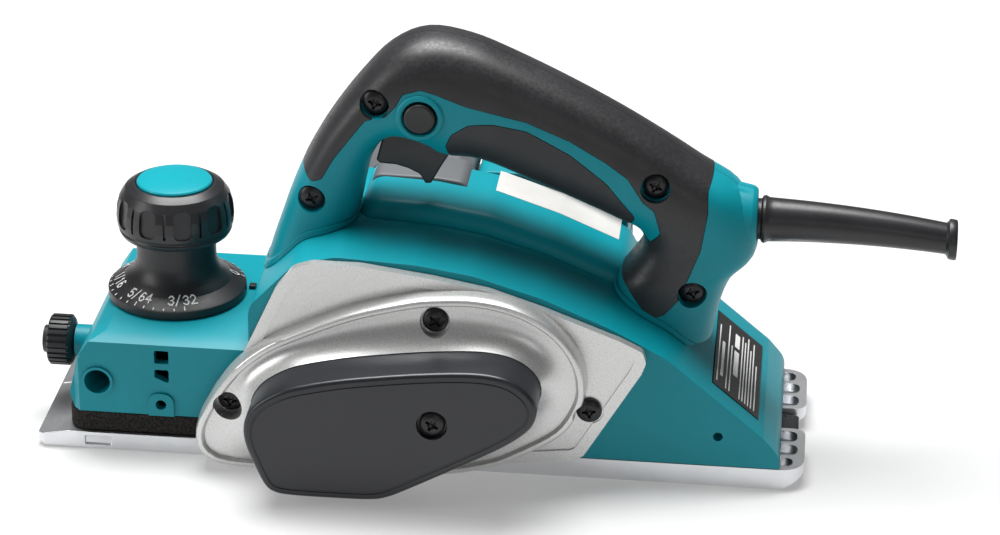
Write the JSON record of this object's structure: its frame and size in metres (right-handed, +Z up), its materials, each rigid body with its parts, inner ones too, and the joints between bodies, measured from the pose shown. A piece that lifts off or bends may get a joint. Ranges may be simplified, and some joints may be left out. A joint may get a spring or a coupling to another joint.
{
  "type": "hand-held electric planer",
  "caption": "Corded hand-held power planer with a belt-driven cutter drum, D-shaped handle, depth knob, two-part aluminium sole and side chip outlet.",
  "frame": {"origin": "on the rear sole face, on the centre line, midway between the front lip and the rear end of the two bases", "axes": "+X to the rear of the tool, +Y to the motor side, +Z up from the sole"},
  "size_m": [0.3393, 0.158, 0.1572],
  "materials": {
    "teal_plastic": "fine moulded grain",
    "silver_paint": "satin metallic paint",
    "base_aluminium": "machined",
    "black_plastic": "satin",
    "black_rubber": "grained",
    "foam": "open foam",
    "grey_plastic": "moulded",
    "steel": "ground",
    "black_steel": "black oxide",
    "copper": "turned",
    "carbon": "dull"
  },
  "bodies": {
    "root": {"rear_base": "base_aluminium", "front_housing": "teal_plastic", "main_housing": "teal_plastic", "motor_housing": "teal_plastic", "motor_end_cap": "teal_plastic", "handle_left": "teal_plastic", "handle_right": "teal_plastic", "chip_chute": "grey_plastic", "side_plate": "silver_paint", "drum_bearing_cover": "silver_paint", "belt_cover": "black_plastic", "switch_body": "black_plastic", "rear_brush_cap": "black_plastic", "front_brush_cap": "black_plastic", "rear_brush_holder": "black_plastic", "front_brush_holder": "black_plastic", "name_plate": "black_plastic", "grip_top_left": "black_rubber", "grip_top_right": "black_rubber", "grip_insert_left": "black_rubber", "grip_insert_right": "black_rubber", "cord_guard": "black_rubber", "drive_belt": "black_rubber", "stator": "steel", "drum_near_bearing": "steel", "drum_far_bearing": "steel", "motor_near_bearing": "steel", "motor_far_bearing": "steel", "rear_carbon_brush": "carbon", "front_carbon_brush": "carbon", "side_plate_screw_1": "black_steel", "side_plate_screw_2": "black_steel", "side_plate_screw_3": "black_steel", "belt_cover_screw": "black_steel", "handle_screw_1": "black_steel", "handle_screw_2": "black_steel", "handle_screw_3": "black_steel", "handle_screw_4": "black_steel"},
    "front_sole": {"front_base": "base_aluminium", "dust_seal": "foam", "depth_spring": "steel"},
    "depth_knob": {"knob_scale_ring": "black_plastic", "knob_grip": "black_rubber", "knob_cap": "teal_plastic", "adjusting_screw": "steel"},
    "cutter_drum": {"drum": "steel", "blade_1": "steel", "blade_2": "steel", "blade_clamp_1": "steel", "blade_clamp_2": "steel", "driven_pulley": "steel"},
    "armature": {"armature_shaft": "steel", "armature_core": "steel", "commutator": "copper", "cooling_fan": "black_plastic", "motor_pulley": "steel"},
    "trigger": {"trigger": "black_plastic"},
    "lock_button": {"lock_button": "black_plastic"},
    "fence_clamp": {"fence_screw": "black_plastic"},
    "foot": {"parking_foot": "black_plastic"}
  },
  "joints": [
    {"name": "drum_spin", "type": "hinge", "parent": "root", "child": "cutter_drum", "pos_m": [-0.03, 0, 0.028], "axis": [0, 1, 0], "continuous": true},
    {"name": "motor_spin", "type": "hinge", "parent": "root", "child": "armature", "pos_m": [0.032, 0, 0.043], "axis": [0, 1, 0], "continuous": true},
    {"name": "depth_knob_turn", "type": "hinge", "parent": "root", "child": "depth_knob", "pos_m": [-0.096, 0, 0.06], "axis": [0, 0, -1], "range_deg": [0, 283.4]},
    {"name": "front_base_rise", "type": "slide", "parent": "root", "child": "front_sole", "axis": [0, 0, 1], "range_m": [0, 0.0025], "deforming": ["dust_seal", "depth_spring"]},
    {"name": "trigger_pull", "type": "hinge", "parent": "root", "child": "trigger", "pos_m": [-0.014, 0, 0.119], "axis": [0, -1, 0], "range_deg": [0, 9], "stiffness_Nm_per_rad": 0.8, "springref_deg": -5.73},
    {"name": "lock_button_press", "type": "slide", "parent": "root", "child": "lock_button", "axis": [0, 1, 0], "range_m": [0, 0.003], "stiffness_N_per_m": 600, "springref_m": -0.002},
    {"name": "fence_screw_turn", "type": "hinge", "parent": "root", "child": "fence_clamp", "pos_m": [-0.135, -0.008, 0.0277], "axis": [1, 0, 0], "range_deg": [0, 270]},
    {"name": "foot_swing", "type": "hinge", "parent": "root", "child": "foot", "pos_m": [0.122, 0, 0.0042], "axis": [0, 1, 0], "range_deg": [0, 50]}
  ],
  "couplings": [
    {"joint": "motor_spin", "follows": "drum_spin", "ratio": 2.1026},
    {"joint": "depth_knob_turn", "follows": "front_base_rise", "rad_per_m": 1978.5}
  ]
}
